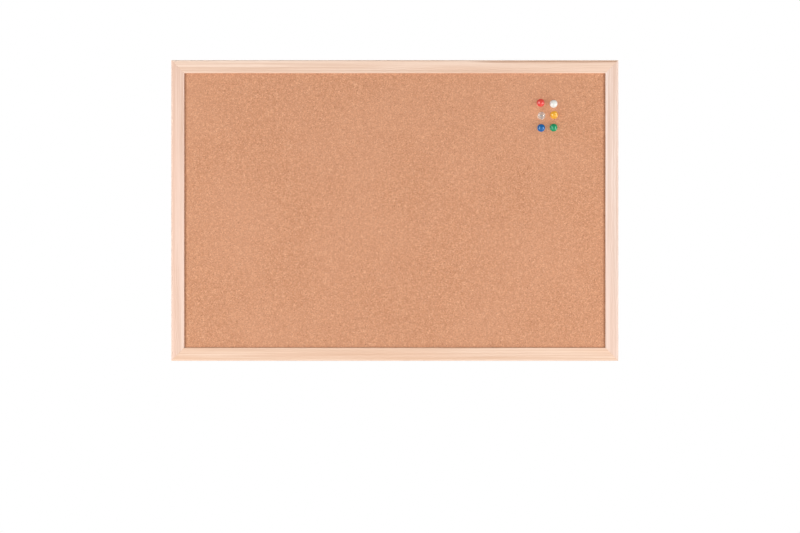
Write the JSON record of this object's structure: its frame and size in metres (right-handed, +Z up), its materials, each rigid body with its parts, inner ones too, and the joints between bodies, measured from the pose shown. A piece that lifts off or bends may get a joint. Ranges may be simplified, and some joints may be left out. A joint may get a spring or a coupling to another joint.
{
  "type": "cork bulletin board",
  "caption": "Wall-hung notice board: a mitred pine frame holds a cork-faced softboard panel that takes push pins, and keyhole plates in the back hang it on screws.",
  "frame": {"origin": "on the wall plane, midway between the entry holes of the two keyhole hangers", "axes": "+X right as you face the cork, +Y into the wall, +Z up; the cork faces -Y"},
  "size_m": [0.58, 0.0252, 0.39],
  "materials": {
    "pine": "satin",
    "cork": "matte",
    "softboard": "matte",
    "kraft_paper": "matte",
    "zinc_steel": "satin",
    "needle_steel": "polished",
    "red_plastic": "gloss",
    "white_plastic": "gloss",
    "clear_plastic": "gloss",
    "yellow_plastic": "gloss",
    "blue_plastic": "gloss",
    "green_plastic": "gloss"
  },
  "bodies": {
    "board": {"top_rail": "pine", "bottom_rail": "pine", "left_rail": "pine", "right_rail": "pine", "cork_sheet": "cork", "softboard_core": "softboard", "back_liner": "kraft_paper", "corner_staples": "zinc_steel", "left_hanger": "zinc_steel", "right_hanger": "zinc_steel", "hanger_screws": "zinc_steel"},
    "red_pin": {"red_pin_grip": "red_plastic", "red_pin_needle": "needle_steel"},
    "white_pin": {"white_pin_grip": "white_plastic", "white_pin_needle": "needle_steel"},
    "clear_pin": {"clear_pin_grip": "clear_plastic", "clear_pin_needle": "needle_steel"},
    "yellow_pin": {"yellow_pin_grip": "yellow_plastic", "yellow_pin_needle": "needle_steel"},
    "blue_pin": {"blue_pin_grip": "blue_plastic", "blue_pin_needle": "needle_steel"},
    "green_pin": {"green_pin_grip": "green_plastic", "green_pin_needle": "needle_steel"}
  },
  "joints": [
    {"name": "red_pin_pull", "type": "slide", "parent": "board", "child": "red_pin", "axis": [0, -1, 0], "range_m": [0, 0.015]},
    {"name": "white_pin_pull", "type": "slide", "parent": "board", "child": "white_pin", "axis": [0, -1, 0], "range_m": [0, 0.015]},
    {"name": "clear_pin_pull", "type": "slide", "parent": "board", "child": "clear_pin", "axis": [0, -1, 0], "range_m": [0, 0.015]},
    {"name": "yellow_pin_pull", "type": "slide", "parent": "board", "child": "yellow_pin", "axis": [0, -1, 0], "range_m": [0, 0.015]},
    {"name": "blue_pin_pull", "type": "slide", "parent": "board", "child": "blue_pin", "axis": [0, -1, 0], "range_m": [0, 0.015]},
    {"name": "green_pin_pull", "type": "slide", "parent": "board", "child": "green_pin", "axis": [0, -1, 0], "range_m": [0, 0.015]}
  ]
}
